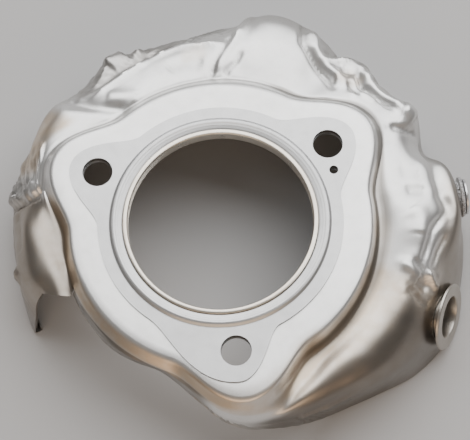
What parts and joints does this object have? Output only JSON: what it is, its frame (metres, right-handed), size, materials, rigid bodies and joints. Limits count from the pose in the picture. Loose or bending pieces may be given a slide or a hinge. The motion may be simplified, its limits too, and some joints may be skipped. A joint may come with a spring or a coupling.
{
  "type": "exhaust flange gasket with heat shield",
  "caption": "Beaded exhaust flange gasket clamped in a stamped, insulated sheet-metal heat shield with a side tunnel, sensor port and decoupled screw bush.",
  "frame": {"origin": "centre of the overall box in X and Y, at the level of the shield's lower rim, on which the part stands", "axes": "+Z along the exhaust bore, towards the gasket's upper face; +X along the longest side, out through the screw bush; +Y towards the dome"},
  "size_m": [0.1794, 0.1702, 0.0431],
  "materials": {
    "gasket_steel": "satin rolled stainless steel",
    "core_steel": "dull steel sheet",
    "eyelet_steel": "bright drawn stainless steel with a warm tint",
    "graphite": "matt graphite",
    "shield_steel": "satin aluminised steel with press marks",
    "insulation": "pressed mineral fibre",
    "inner_steel": "dull stainless foil",
    "wire_mesh": "knitted and pressed wire",
    "bush_steel": "turned zinc-plated steel"
  },
  "bodies": {
    "shield": {"gasket_top_plate": "gasket_steel", "gasket_core_plate": "core_steel", "gasket_bottom_plate": "gasket_steel", "bore_eyelet": "eyelet_steel", "upper_seal_ring": "graphite", "lower_seal_ring": "graphite", "shield_outer_skin": "shield_steel", "insulation_mat": "insulation", "shield_inner_skin": "inner_steel", "mesh_cushion": "wire_mesh", "port_collar": "eyelet_steel"},
    "bush": {"bush_sleeve": "bush_steel", "bush_washer": "bush_steel"}
  },
  "joints": [
    {"name": "bush_spin", "type": "hinge", "parent": "shield", "child": "bush", "pos_m": [0.08609, -0.00378, 0.0205], "axis": [1, 0, 0], "continuous": true}
  ]
}
